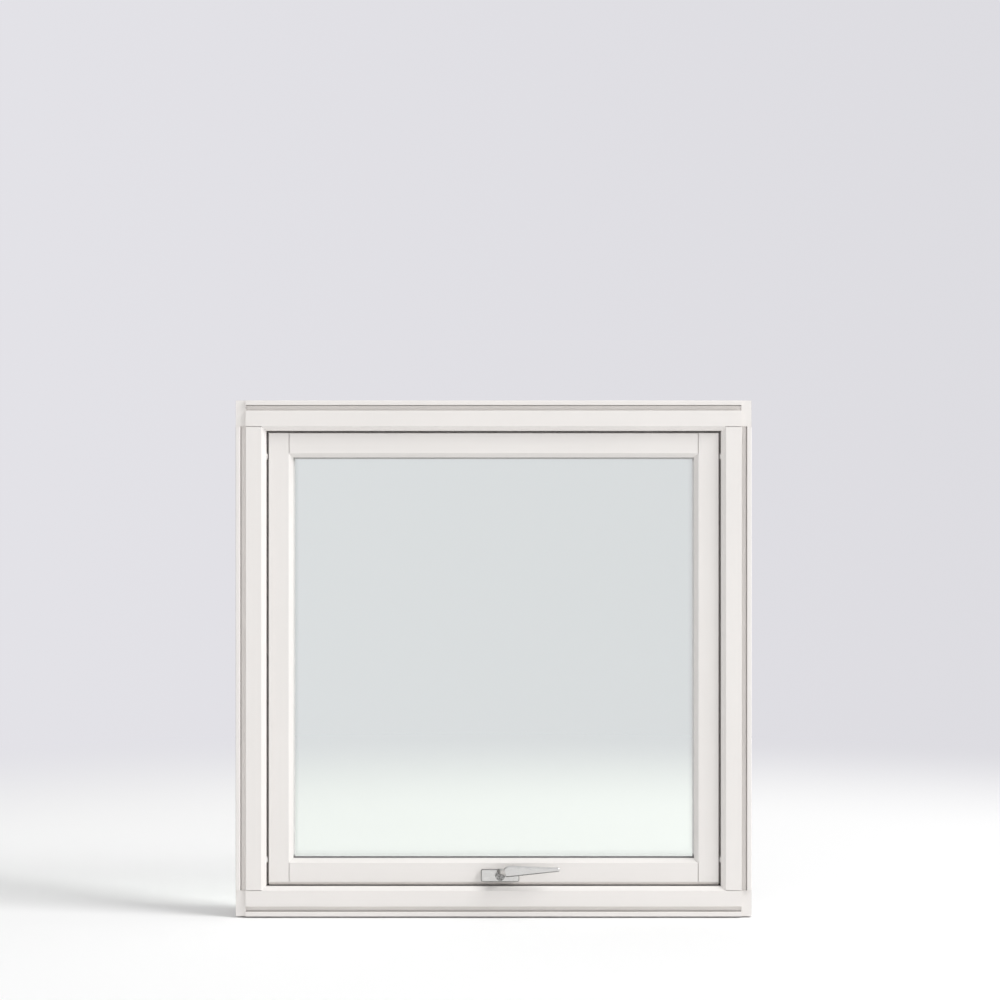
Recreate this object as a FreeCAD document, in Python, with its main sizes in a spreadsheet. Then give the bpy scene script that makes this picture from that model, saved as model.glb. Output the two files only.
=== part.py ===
import FreeCAD, Part
import os
import types

import Sketcher

# A white timber window of the Nordic kind: an outward opening sash, hung at its top, in a deep frame.
# +X is right as seen from the room, +Y points outdoors, +Z is up.
# The origin is the middle of the sill's underside.

SIZES = {
    "frame_width": 990,
    "frame_height": 990,
    "frame_depth": 105,
    "frame_thickness": 49.5,
    "lip_width": 9,
    "groove_width": 10.4,
    "groove_depth": 9,
    "slot_width": 1.2,
    "slot_depth": 15,
    "end_rebate": 5.5,
    "stop_height": 8.5,
    "stop_depth": 32,
    "sill_stop_fall": 3,
    "sill_step": 3.5,
    "sill_fall": 7.5,
    "flashing_height": 24,
    "flashing_width": 3.5,
    "flashing_depth": 8,
    "outer_arris": 2,
    "frame_arris": 1.2,
    "joint_width": 1.3,
    "joint_depth": 4,
    "sash_setback": 14,
    "sash_thickness": 80,
    "sash_gap": 4.4,
    "sash_gap_bottom": 0.2,
    "sash_step": 8.5,
    "seal_space": 5,
    "seal_clearance": 0.3,
    "seal_width": 5.5,
    "seal_inset": 0.5,
    "stile_face": 38.6,
    "sash_bevel": 8,
    "sash_arris": 1,
    "drip_height": 6.6,
    "drip_depth": 8,
    "kerf_width": 4,
    "kerf_depth": 5,
    "kerf_inset": 8,
    "glazing_lip": 12,
    "glazing_cover": 15,
    "glass_clearance": 3.5,
    "pane_thickness": 4,
    "pane_space": 16,
    "gasket_thickness": 2,
    "gasket_show": 3,
    "spacer_recess": 4,
    "spacer_width": 7,
    "bead_height": 11,
    "bead_edge": 5,
    "bead_proud": 3,
    "bead_arris": 1.5,
    "screw_inset": 107,
    "screw_depth": 20,
    "screw_hole": 8,
    "cap_diameter": 13,
    "cap_stem": 9,
    "cap_stem_length": 10,
    "cap_rise": 2.2,
    "cap_bevel": 1.3,
    "cap_clearance": 0.1,
    "hinge_inset": 150,
    "hinge_length": 70,
    "hinge_barrel": 12,
    "hinge_pin": 5,
    "hinge_leaf": 2,
    "hinge_leaf_width": 27,
    "hinge_play": 0.5,
    "hinge_pin_play": 0.1,
    "handle_offset": 12.5,
    "handle_height": 78.3,
    "plate_length": 73,
    "plate_width": 23.6,
    "plate_thickness": 10,
    "plate_corner": 3,
    "plate_bevel": 1.2,
    "hub_diameter": 18.6,
    "hub_play": 0.2,
    "hub_seat": 6,
    "hub_rise": 7,
    "hub_nose": 1.6,
    "crank_root": 6,
    "crank_width": 14,
    "crank_shift": 15,
    "crank_rise": 3,
    "crank_height": 11,
    "crank_overlap": 4,
    "crank_round": 2.5,
    "lever_standoff": 30,
    "lever_thickness": 10,
    "lever_length": 113.5,
    "lever_root": 6.5,
    "lever_root_height": 17,
    "lever_shoulder": 14,
    "lever_shoulder_height": 22.3,
    "lever_heel": 10.5,
    "lever_heel_height": 1.2,
    "lever_tip_height": 18.7,
    "lever_tip_width": 6.6,
    "lever_root_round": 4,
    "lever_shoulder_round": 9,
    "lever_heel_round": 3,
    "lever_tip_round": 2.6,
    "lever_bevel": 1.8,
}

doc = FreeCAD.newDocument("TopHungWindow")
sheet = doc.addObject("Spreadsheet::Sheet", "Sizes")
for row, (alias, number) in enumerate(SIZES.items(), start=1):
    sheet.set(f"A{row}", str(number))
    sheet.setAlias(f"A{row}", alias)
doc.recompute()


class Dimension:
    """A length together with the sheet formula that gives it."""

    def __init__(self, value, formula):
        self.value = value
        self.formula = formula

    def __add__(self, other):
        other = dimension(other)
        return Dimension(self.value + other.value, f"({self.formula} + {other.formula})")

    def __sub__(self, other):
        other = dimension(other)
        return Dimension(self.value - other.value, f"({self.formula} - {other.formula})")

    def __mul__(self, factor):
        return Dimension(self.value * factor, f"({self.formula} * {factor})")

    def __truediv__(self, divisor):
        return Dimension(self.value / divisor, f"({self.formula} / {divisor})")

    def __neg__(self):
        return self * -1


def dimension(number):
    if isinstance(number, Dimension):
        return number
    return Dimension(number, str(number))


size = types.SimpleNamespace(
    **{alias: Dimension(number, f"Sizes.{alias}") for alias, number in SIZES.items()}
)
LEFT, RIGHT = -1, 1
SIDES = {"left": LEFT, "right": RIGHT}

# Distances from the outer edge of the frame inwards, the same on all four sides.
slot_edge = size.lip_width + size.slot_width
groove_edge = size.lip_width + size.groove_width
rebate_edge = size.frame_thickness
stop_edge = rebate_edge + size.stop_height
sash_edge = stop_edge + size.sash_gap
sill_sash_edge = stop_edge + size.sash_gap_bottom
flange_edge = sash_edge - size.sash_step
sill_flange_edge = sill_sash_edge - size.sash_step
bevel_edge = sash_edge + size.stile_face
sight_edge = bevel_edge + size.sash_bevel
glazing_edge = sight_edge - size.glazing_cover
glass_edge = glazing_edge + size.glass_clearance
gasket_edge = sight_edge + size.gasket_show
bead_inner_edge = glazing_edge + size.bead_height

# Depths behind the room face of the frame.
sash_front = size.sash_setback
sash_rear = sash_front + size.sash_thickness
flange_front = size.stop_depth + size.seal_space
glazing_front = sash_front + size.glazing_lip
glass_front = glazing_front + size.gasket_thickness
pane_pitch = size.pane_thickness + size.pane_space
glass_rear = glass_front + pane_pitch * 2 + size.pane_thickness
bead_front = glass_rear + size.gasket_thickness

half_width = size.frame_width / 2
ZERO = dimension(0)


def across(side, inset):
    """X of a distance from the left or right edge of the frame."""
    return (half_width - inset) * side


def depth(distance):
    """Y of a depth behind the room face."""
    return dimension(distance) - size.frame_depth / 2


def below(inset):
    """Z of a distance below the top of the frame."""
    return size.frame_height - inset


class Disc:
    """A circle in a sketch."""

    def __init__(self, centre, radius):
        self.centre = centre
        self.radius = radius


# The sign of each origin plane's normal along its own axis.
PLANE_NORMALS = {"XY_Plane": 1, "XZ_Plane": -1, "YZ_Plane": 1}


def hold_point(sketch, geometry, position, corner):
    """Fixes a point of a sketch at a pair of dimensions from the origin."""
    for kind, place in zip(("DistanceX", "DistanceY"), corner):
        constraint = Sketcher.Constraint(kind, -1, 1, geometry, position, place.value)
        index = sketch.addConstraint(constraint)
        sketch.setExpression(f"Constraints[{index}]", place.formula)


def draw_disc(sketch, disc):
    centre = FreeCAD.Vector(disc.centre[0].value, disc.centre[1].value, 0)
    normal = FreeCAD.Vector(0, 0, 1)
    geometry = sketch.addGeometry(Part.Circle(centre, normal, disc.radius.value))
    hold_point(sketch, geometry, 3, disc.centre)
    index = sketch.addConstraint(Sketcher.Constraint("Radius", geometry, disc.radius.value))
    sketch.setExpression(f"Constraints[{index}]", disc.radius.formula)


def draw_polygon(sketch, corners):
    points = [FreeCAD.Vector(first.value, second.value, 0) for first, second in corners]
    lines = []
    for start, end in zip(points, points[1:] + points[:1]):
        lines.append(sketch.addGeometry(Part.LineSegment(start, end)))
    for line, following in zip(lines, lines[1:] + lines[:1]):
        sketch.addConstraint(Sketcher.Constraint("Coincident", line, 2, following, 1))
    for line, corner in zip(lines, corners):
        hold_point(sketch, line, 1, corner)


def extrude(body, kind, name, plane, outlines, start, end):
    """Pads or pockets outlines drawn on an origin plane, from one place to another along its normal."""
    origin_plane = next(item for item in body.Origin.OriginFeatures if item.Role == plane)
    sketch = body.newObject("Sketcher::SketchObject", f"{name}Sketch")
    sketch.AttachmentSupport = [(origin_plane, "")]
    sketch.MapMode = "FlatFace"
    for outline in outlines:
        if isinstance(outline, Disc):
            draw_disc(sketch, outline)
        else:
            draw_polygon(sketch, [(dimension(a), dimension(b)) for a, b in outline])
    middle = (start + end) / 2 * PLANE_NORMALS[plane]
    sketch.setExpression("AttachmentOffset.Base.z", middle.formula)
    volume_before = body.Shape.Volume if body.Tip else 0
    feature = body.newObject(f"PartDesign::{kind}", name)
    feature.Profile = sketch
    feature.Midplane = True
    feature.setExpression("Length", (end - start).formula)
    doc.recompute()
    if abs(body.Shape.Volume - volume_before) < 1:
        raise RuntimeError(f"{name} changes nothing")
    return feature


EDGE_MEASURES = {"Fillet": "Radius", "Chamfer": "Size"}


def ease_edges(body, kind, name, measure, picks):
    """Rounds or bevels the edges of a body that a test picks."""
    base = body.Tip
    numbered = enumerate(base.Shape.Edges, start=1)
    edges = [f"Edge{number}" for number, edge in numbered if picks(edge)]
    feature = body.newObject(f"PartDesign::{kind}", name)
    feature.Base = (base, edges)
    feature.setExpression(EDGE_MEASURES[kind], measure.formula)
    doc.recompute()
    if not feature.isValid():
        raise RuntimeError(f"{name} of {body.Label} failed")
    return feature


def lies_on(edge, **places):
    """True where every end of an edge has the given coordinates."""
    for axis, place in places.items():
        for vertex in edge.Vertexes:
            if abs(getattr(vertex.Point, axis) - dimension(place).value) > 0.01:
                return False
    return True


def along(axis, corners):
    """A test for straight edges along one axis through corners of the profile."""
    others = [name for name in "xyz" if name != axis]

    def picks(edge):
        return any(lies_on(edge, **dict(zip(others, corner))) for corner in corners)

    return picks


def new_body(label):
    body = doc.addObject("PartDesign::Body", label.title().replace("_", ""))
    body.Label = label
    return body


nodes = []


def rectangle(left, right, low, high):
    return [(left, low), (right, low), (right, high), (left, high)]


def square_ring(label, outer, inner, front, rear):
    """A ring of one section round the window, between two insets and two depths."""
    body = new_body(label)
    outlines = [
        rectangle(across(LEFT, inset), across(RIGHT, inset), inset, below(inset))
        for inset in (outer, inner)
    ]
    extrude(body, "Pad", "Ring", "XZ_Plane", outlines, depth(front), depth(rear))
    nodes.append(body)
    return body


# Frame: head and sill run through, jambs stand between them, and the stops meet on a mitre.

# Each corner of a section is a distance from the outer edge and a depth.
room_corners = [
    (ZERO, ZERO),
    (rebate_edge, ZERO),
    (stop_edge, size.stop_height),
]
lining_groove = [
    (size.lip_width, ZERO),
    (size.lip_width, size.slot_depth),
    (slot_edge, size.slot_depth),
    (slot_edge, size.groove_depth),
    (groove_edge, size.groove_depth),
    (groove_edge, ZERO),
]

# The rear of head and jambs is square. The sill is weathered, with a groove for a flashing in its outer face.
square_rear = [
    (stop_edge, size.stop_depth),
    (rebate_edge, size.stop_depth),
    (rebate_edge, size.frame_depth),
    (ZERO, size.frame_depth),
]
sill_stop = stop_edge - size.sill_stop_fall
sill_seat = rebate_edge - size.sill_step
sill_nose = rebate_edge - size.sill_fall
flashing_top = size.flashing_height + size.flashing_width
flashing_floor = size.frame_depth - size.flashing_depth
sill_rear = [
    (sill_stop, sash_front),
    (sill_stop, size.stop_depth),
    (sill_seat, size.stop_depth),
    (sill_nose, size.frame_depth),
    (flashing_top, size.frame_depth),
    (flashing_top, flashing_floor),
    (size.flashing_height, flashing_floor),
    (size.flashing_height, size.frame_depth),
    (ZERO, size.frame_depth),
]


def frame_bar(label, plane, axis, place, rear, ends, groove_ends):
    """A planed frame member along one axis, its long edges rounded and its lining groove cut."""
    body = new_body(label)
    section = [place(inset, back) for inset, back in room_corners + rear]
    extrude(body, "Pad", "Bar", plane, [section], *ends)
    outer = (section[0], section[-1])
    ease_edges(body, "Fillet", "OuterArrises", size.outer_arris, along(axis, outer))
    ease_edges(body, "Fillet", "StopArrises", size.frame_arris, along(axis, section[1:3]))
    groove = [place(inset, back) for inset, back in lining_groove]
    extrude(body, "Pocket", "LiningGroove", plane, [groove], *groove_ends)
    mouth = (groove[0], groove[-1])
    ease_edges(body, "Fillet", "GrooveArrises", size.frame_arris, along(axis, mouth))
    return body


def frame_rail(label, level, rear):
    """Head or sill: level turns a distance from the outer edge into a height."""

    def place(inset, back):
        return depth(back), level(inset)

    groove_ends = (across(LEFT, groove_edge), across(RIGHT, groove_edge))
    body = frame_bar(label, "YZ_Plane", "x", place, rear, (-half_width, half_width), groove_ends)
    mitres = []
    rebates = []
    for side in SIDES.values():
        mitres.append([
            (across(side, ZERO), level(rebate_edge)),
            (across(side, rebate_edge), level(rebate_edge)),
            (across(side, stop_edge), level(stop_edge)),
            (across(side, ZERO), level(stop_edge)),
        ])
        rebates.append(
            rectangle(across(side, ZERO), across(side, groove_edge), depth(0), depth(size.end_rebate))
        )
    extrude(body, "Pocket", "Mitres", "XZ_Plane", mitres, depth(0), depth(size.frame_depth))
    extrude(body, "Pocket", "EndRebates", "XY_Plane", rebates, ZERO, size.frame_height)
    nodes.append(body)


frame_rail("frame_sill", dimension, sill_rear)
frame_rail("frame_head", below, square_rear)


def frame_jamb(label, side):

    def place(inset, back):
        return across(side, inset), depth(back)

    ends = (sill_nose, below(rebate_edge))
    body = frame_bar(label, "XY_Plane", "z", place, square_rear, ends, ends)
    sill_top = [
        (depth(0), sill_nose),
        (depth(size.frame_depth), sill_nose),
        (depth(size.stop_depth), sill_seat),
        (depth(size.stop_depth), rebate_edge),
        (depth(0), rebate_edge),
    ]
    extrude(body, "Pocket", "SillSeat", "YZ_Plane", [sill_top], -half_width, half_width)
    mitres = [
        [
            (across(side, rebate_edge), level(rebate_edge)),
            (across(side, stop_edge), level(rebate_edge)),
            (across(side, stop_edge), level(stop_edge)),
        ]
        for level in (dimension, below)
    ]
    extrude(body, "Pocket", "Mitres", "XZ_Plane", mitres, depth(0), depth(size.stop_depth))
    joint_edge = rebate_edge + size.joint_width
    joint_lines = [
        rectangle(depth(0), depth(size.joint_depth), level(rebate_edge), level(joint_edge))
        for level in (dimension, below)
    ]
    extrude(body, "Pocket", "JointLines", "YZ_Plane", joint_lines, -half_width, half_width)
    heights = (size.screw_inset, below(size.screw_inset))
    centres = [(depth(size.screw_depth), height) for height in heights]
    holes = [Disc(centre, size.screw_hole / 2) for centre in centres]
    extrude(body, "Pocket", "ScrewHoles", "YZ_Plane", holes, across(LEFT, 0), across(RIGHT, 0))
    seats = [Disc(centre, size.cap_stem / 2 + size.cap_clearance) for centre in centres]
    seat_edge = stop_edge - size.cap_stem_length - size.cap_clearance
    seat = sorted((across(side, seat_edge), across(side, stop_edge)), key=lambda place: place.value)
    extrude(body, "Pocket", "CapSeats", "YZ_Plane", seats, *seat)
    nodes.append(body)


def cover_cap(label, side, height):
    """A plastic cap with a bevelled crown and a stem that plugs a fixing hole."""
    body = new_body(label)
    centre = (depth(size.screw_depth), height)
    stem = sorted(
        (across(side, stop_edge - size.cap_stem_length), across(side, stop_edge)),
        key=lambda place: place.value,
    )
    extrude(body, "Pad", "Stem", "YZ_Plane", [Disc(centre, size.cap_stem / 2)], *stem)
    crown_place = across(side, stop_edge + size.cap_rise)
    crown = sorted((across(side, stop_edge), crown_place), key=lambda place: place.value)
    extrude(body, "Pad", "Crown", "YZ_Plane", [Disc(centre, size.cap_diameter / 2)], *crown)
    ease_edges(body, "Chamfer", "Bevel", size.cap_bevel, lambda edge: lies_on(edge, x=crown_place))
    nodes.append(body)


for side_name, side_sign in SIDES.items():
    frame_jamb(f"frame_jamb_{side_name}", side_sign)
    cover_cap(f"screw_cap_{side_name}_lower", side_sign, size.screw_inset)
    cover_cap(f"screw_cap_{side_name}_upper", side_sign, below(size.screw_inset))

# Weather seal: a soft strip on the rear of the stop that the sash flange closes against.

seal_inner_edge = stop_edge - size.seal_inset
square_ring(
    "weather_seal",
    seal_inner_edge - size.seal_width,
    seal_inner_edge,
    size.stop_depth,
    flange_front - size.seal_clearance,
)

# Sash: stiles run through, rails stand between them, and the glazing lips meet on a mitre.

def sash_profile(room_edge, outer_edge):
    """Bevelled room face, glazing rebate and outer flange: (distance from the frame's edge, depth)."""
    return [
        (room_edge, sash_front),
        (bevel_edge, sash_front),
        (sight_edge, sash_front + size.sash_bevel),
        (sight_edge, glazing_front),
        (glazing_edge, glazing_front),
        (glazing_edge, sash_rear),
        (outer_edge, sash_rear),
        (outer_edge, flange_front),
        (room_edge, flange_front),
    ]


def sash_arrises(profile):
    return [profile[index] for index in (0, 1, 2, 6)]


def cut_lower_edge(body):
    """Bevel along the lower room edge of the sash, and the drip kerf under its flange."""
    bevel = [
        (depth(sash_front), sill_sash_edge),
        (depth(sash_front + size.drip_depth), sill_sash_edge),
        (depth(sash_front), sill_sash_edge + size.drip_height),
    ]
    kerf_rear = sash_rear - size.kerf_inset
    kerf = rectangle(
        depth(kerf_rear - size.kerf_width),
        depth(kerf_rear),
        sill_flange_edge,
        sill_flange_edge + size.kerf_depth,
    )
    extrude(body, "Pocket", "LowerEdge", "YZ_Plane", [bevel, kerf], -half_width, half_width)


def sash_stile(label, side):
    body = new_body(label)
    profile = sash_profile(sash_edge, flange_edge)
    section = [(across(side, inset), depth(back)) for inset, back in profile]
    extrude(body, "Pad", "Bar", "XY_Plane", [section], sill_flange_edge, below(flange_edge))
    arrises = [(across(side, inset), depth(back)) for inset, back in sash_arrises(profile)]
    ease_edges(body, "Fillet", "Arrises", size.sash_arris, along("z", arrises))
    room_ends = [
        rectangle(across(side, flange_edge), across(side, sight_edge), sill_flange_edge, sill_sash_edge),
        rectangle(across(side, flange_edge), across(side, sight_edge), below(sash_edge), below(flange_edge)),
    ]
    extrude(body, "Pocket", "RoomEnds", "XZ_Plane", room_ends, depth(sash_front), depth(flange_front))
    mitres = [
        [
            (across(side, bevel_edge), level(room_edge)),
            (across(side, sight_edge), level(room_edge)),
            (across(side, sight_edge), level(sight_edge)),
            (across(side, bevel_edge), level(bevel_edge)),
        ]
        for level, room_edge in ((dimension, sill_sash_edge), (below, sash_edge))
    ]
    extrude(body, "Pocket", "Mitres", "XZ_Plane", mitres, depth(sash_front), depth(glazing_front))
    cut_lower_edge(body)
    nodes.append(body)


def sash_rail(label, level, room_edge, outer_edge):
    body = new_body(label)
    profile = sash_profile(room_edge, outer_edge)
    section = [(depth(back), level(inset)) for inset, back in profile]
    ends = (across(LEFT, glazing_edge), across(RIGHT, glazing_edge))
    extrude(body, "Pad", "Bar", "YZ_Plane", [section], *ends)
    arrises = [(depth(back), level(inset)) for inset, back in sash_arrises(profile)]
    picked = arrises if level is below else arrises[1:]
    ease_edges(body, "Fillet", "Arrises", size.sash_arris, along("x", picked))
    copes = [
        [
            (across(side, glazing_edge), level(room_edge)),
            (across(side, bevel_edge), level(room_edge)),
            (across(side, bevel_edge), level(bevel_edge)),
            (across(side, sight_edge), level(sight_edge)),
            (across(side, glazing_edge), level(sight_edge)),
        ]
        for side in SIDES.values()
    ]
    extrude(body, "Pocket", "Copes", "XZ_Plane", copes, depth(sash_front), depth(glazing_front))
    joint_floor = depth(sash_front + size.joint_depth)
    joint_lines = [
        rectangle(
            across(side, bevel_edge),
            across(side, bevel_edge + size.joint_width),
            depth(sash_front),
            joint_floor,
        )
        for side in SIDES.values()
    ]
    joint_ends = sorted((level(room_edge), level(bevel_edge)), key=lambda place: place.value)
    extrude(body, "Pocket", "JointLines", "XY_Plane", joint_lines, *joint_ends)
    if level is not below:
        cut_lower_edge(body)
    nodes.append(body)


for side_name, side_sign in SIDES.items():
    sash_stile(f"sash_stile_{side_name}", side_sign)
sash_rail("sash_top_rail", below, sash_edge, flange_edge)
sash_rail("sash_bottom_rail", dimension, sill_sash_edge, sill_flange_edge)

# Glazing: three panes with two spacer frames, between a gasket at the lip and one at the beads.

def pane(label, front):
    body = new_body(label)
    outline = rectangle(
        across(LEFT, glass_edge), across(RIGHT, glass_edge), glass_edge, below(glass_edge)
    )
    extrude(body, "Pad", "Sheet", "XZ_Plane", [outline], depth(front), depth(front + size.pane_thickness))
    nodes.append(body)


for number, pane_name in enumerate(("inner", "middle", "outer")):
    pane(f"pane_{pane_name}", glass_front + pane_pitch * number)

spacer_edge = sight_edge - size.spacer_recess
for number, spacer_name in enumerate(("inner", "outer")):
    spacer_front = glass_front + pane_pitch * number + size.pane_thickness
    square_ring(
        f"spacer_{spacer_name}",
        spacer_edge - size.spacer_width,
        spacer_edge,
        spacer_front,
        spacer_front + size.pane_space,
    )
square_ring("glazing_gasket_room", glass_edge, gasket_edge, glazing_front, glass_front)
square_ring("glazing_gasket_outer", glass_edge, spacer_edge, glass_rear, bead_front)


# Glazing beads: sloped strips outside, mitred at the corners.

def bead_profile():
    return [
        (glazing_edge, bead_front),
        (bead_inner_edge, bead_front),
        (bead_inner_edge, bead_front + size.bead_edge),
        (glazing_edge, sash_rear + size.bead_proud),
    ]


def bead(label, plane, axis, section, ends, mitres):
    body = new_body(label)
    extrude(body, "Pad", "Strip", plane, [section], *ends)
    ease_edges(body, "Fillet", "Arrises", size.bead_arris, along(axis, section[2:]))
    bead_rear = sash_rear + size.bead_proud
    extrude(body, "Pocket", "Mitres", "XZ_Plane", mitres, depth(bead_front), depth(bead_rear))
    nodes.append(body)


for side_name, side_sign in SIDES.items():
    upright_mitres = [
        [
            (across(side_sign, glazing_edge), level(glazing_edge)),
            (across(side_sign, bead_inner_edge), level(glazing_edge)),
            (across(side_sign, bead_inner_edge), level(bead_inner_edge)),
        ]
        for level in (dimension, below)
    ]
    upright_section = [(across(side_sign, inset), depth(back)) for inset, back in bead_profile()]
    upright_ends = (glazing_edge, below(glazing_edge))
    bead(f"bead_{side_name}", "XY_Plane", "z", upright_section, upright_ends, upright_mitres)

for bead_name, level in (("bottom", dimension), ("top", below)):
    level_mitres = [
        [
            (across(side, glazing_edge), level(glazing_edge)),
            (across(side, glazing_edge), level(bead_inner_edge)),
            (across(side, bead_inner_edge), level(bead_inner_edge)),
        ]
        for side in SIDES.values()
    ]
    level_section = [(depth(back), level(inset)) for inset, back in bead_profile()]
    level_ends = (across(LEFT, glazing_edge), across(RIGHT, glazing_edge))
    bead(f"bead_{bead_name}", "YZ_Plane", "x", level_section, level_ends, level_mitres)

# Hinges: barrels under the head in front of the sash, one leaf on the head and one on the top rail.

barrel_radius = size.hinge_barrel / 2
pin_radius = size.hinge_pin / 2
hinge_depth = sash_rear + size.hinge_play + barrel_radius
hinge_height = below(rebate_edge + size.hinge_play + barrel_radius)
hinge_axis = (depth(hinge_depth), hinge_height)
knuckle_length = size.hinge_length / 3


def hinge_frame_leaf(label, middle):
    """Leaf screwed up under the head, with the two outer knuckles."""
    body = new_body(label)
    start, end = middle - size.hinge_length / 2, middle + size.hinge_length / 2
    leaf_rear = depth(hinge_depth)
    leaf = rectangle(
        leaf_rear - size.hinge_leaf_width, leaf_rear, below(rebate_edge + size.hinge_leaf), below(rebate_edge)
    )
    extrude(body, "Pad", "Leaf", "YZ_Plane", [leaf], start, end)
    extrude(body, "Pad", "Barrel", "YZ_Plane", [Disc(hinge_axis, barrel_radius)], start, end)
    notch = rectangle(
        depth(sash_rear),
        depth(sash_rear + size.hinge_barrel * 2),
        hinge_height - size.hinge_barrel,
        below(rebate_edge),
    )
    half_notch = knuckle_length / 2 + size.hinge_play
    extrude(body, "Pocket", "Notch", "YZ_Plane", [notch], middle - half_notch, middle + half_notch)
    bore = Disc(hinge_axis, pin_radius)
    extrude(body, "Pocket", "Bore", "YZ_Plane", [bore], start, end)
    nodes.append(body)


def hinge_sash_leaf(label, middle):
    """Leaf screwed on the outside of the top rail, with the middle knuckle."""
    body = new_body(label)
    start, end = middle - size.hinge_length / 2, middle + size.hinge_length / 2
    leaf_top = hinge_height - barrel_radius - size.hinge_play
    leaf_ends = (depth(sash_rear), depth(sash_rear + size.hinge_leaf))
    leaf = rectangle(start, end, leaf_top - size.hinge_leaf_width, leaf_top)
    extrude(body, "Pad", "Leaf", "XZ_Plane", [leaf], *leaf_ends)
    knuckle_ends = (middle - knuckle_length / 2, middle + knuckle_length / 2)
    tab = rectangle(*knuckle_ends, leaf_top - size.hinge_leaf_width / 2, hinge_height)
    extrude(body, "Pad", "Tab", "XZ_Plane", [tab], *leaf_ends)
    extrude(body, "Pad", "Knuckle", "YZ_Plane", [Disc(hinge_axis, barrel_radius)], *knuckle_ends)
    bore = Disc(hinge_axis, pin_radius + size.hinge_pin_play)
    extrude(body, "Pocket", "Bore", "YZ_Plane", [bore], *knuckle_ends)
    nodes.append(body)


def hinge_pin(label, middle):
    body = new_body(label)
    ends = (middle - size.hinge_length / 2, middle + size.hinge_length / 2)
    extrude(body, "Pad", "Pin", "YZ_Plane", [Disc(hinge_axis, pin_radius)], *ends)
    nodes.append(body)


for side_name, side_sign in SIDES.items():
    hinge_middle = across(side_sign, size.hinge_inset)
    hinge_frame_leaf(f"hinge_frame_leaf_{side_name}", hinge_middle)
    hinge_sash_leaf(f"hinge_sash_leaf_{side_name}", hinge_middle)
    hinge_pin(f"hinge_pin_{side_name}", hinge_middle)

# Handle: a flat cover plate on the bottom rail and a cranked lever that turns in it.

handle_axis = (size.handle_offset, size.handle_height)
plate_front = sash_front - size.plate_thickness
hub_front = plate_front - size.hub_rise
lever_rear = sash_front - size.lever_standoff
lever_front = lever_rear - size.lever_thickness


def handle_plate():
    body = new_body("handle_plate")
    outline = rectangle(
        size.handle_offset - size.plate_length / 2,
        size.handle_offset + size.plate_length / 2,
        size.handle_height - size.plate_width / 2,
        size.handle_height + size.plate_width / 2,
    )
    extrude(body, "Pad", "Plate", "XZ_Plane", [outline], depth(plate_front), depth(sash_front))
    ease_edges(body, "Fillet", "Corners", size.plate_corner, along("y", outline))
    ease_edges(
        body, "Chamfer", "Bevel", size.plate_bevel, lambda edge: lies_on(edge, y=depth(plate_front))
    )
    seat = Disc(handle_axis, (size.hub_diameter + size.hub_play) / 2)
    seat_floor = plate_front + size.hub_seat + size.hub_play
    extrude(body, "Pocket", "HubSeat", "XZ_Plane", [seat], depth(plate_front), depth(seat_floor))
    nodes.append(body)


def handle_lever():
    """Round hub, slanted crank and tapered blade, as one casting."""
    body = new_body("handle_lever")
    axis_x, axis_z = handle_axis
    crank_left = axis_x - size.crank_root
    crank_right = crank_left + size.crank_width
    crank_start = depth(hub_front + size.crank_overlap)
    crank_end = depth(lever_rear - size.crank_overlap)
    crank = [
        (crank_left, crank_start),
        (crank_right, crank_start),
        (crank_right + size.crank_shift, crank_end),
        (crank_left + size.crank_shift, crank_end),
    ]
    crank_sides = (axis_z + size.crank_rise, axis_z + size.crank_rise + size.crank_height)
    extrude(body, "Pad", "Crank", "XY_Plane", [crank], *crank_sides)
    ease_edges(
        body,
        "Fillet",
        "CrankEdges",
        size.crank_round,
        lambda edge: any(lies_on(edge, z=side) for side in crank_sides),
    )
    hub_inner = plate_front + size.hub_seat
    hub_shoulder = hub_front + size.hub_nose
    hub = Disc(handle_axis, size.hub_diameter / 2)
    extrude(body, "Pad", "Hub", "XZ_Plane", [hub], depth(hub_shoulder), depth(hub_inner))
    nose = Disc(handle_axis, size.hub_diameter / 2 - size.hub_nose)
    extrude(body, "Pad", "HubNose", "XZ_Plane", [nose], depth(hub_front), depth(hub_inner))
    tip_x = axis_x + size.lever_length
    tip_top = axis_z + size.lever_tip_height
    root = (axis_x + size.lever_root, axis_z + size.lever_root_height)
    shoulder = (axis_x + size.lever_shoulder, axis_z + size.lever_shoulder_height)
    heel = (axis_x + size.lever_heel, axis_z + size.lever_heel_height)
    tip = [(tip_x, tip_top), (tip_x, tip_top - size.lever_tip_width)]
    blade = [heel, root, shoulder, *tip]
    extrude(body, "Pad", "Blade", "XZ_Plane", [blade], depth(lever_front), depth(lever_rear))
    ease_edges(body, "Fillet", "Root", size.lever_root_round, along("y", [root]))
    ease_edges(body, "Fillet", "Shoulder", size.lever_shoulder_round, along("y", [shoulder]))
    ease_edges(body, "Fillet", "Heel", size.lever_heel_round, along("y", [heel]))
    ease_edges(body, "Fillet", "Tip", size.lever_tip_round, along("y", tip))
    ease_edges(
        body, "Chamfer", "FrontBevel", size.lever_bevel, lambda edge: lies_on(edge, y=depth(lever_front))
    )
    nodes.append(body)


handle_plate()
handle_lever()

doc.recompute()
for item in doc.Objects:
    if {"Invalid", "Error"} & set(item.State):
        raise RuntimeError(f"{item.Label} failed: {item.State}")
for node in nodes:
    if node.Shape.isNull() or not node.Shape.isValid() or len(node.Shape.Solids) != 1:
        raise RuntimeError(f"{node.Label} is not one valid solid")

os.makedirs("parts", exist_ok=True)
for node in nodes:
    node.Shape.exportStep(f"parts/{node.Label}.step")
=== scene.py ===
import math

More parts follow.
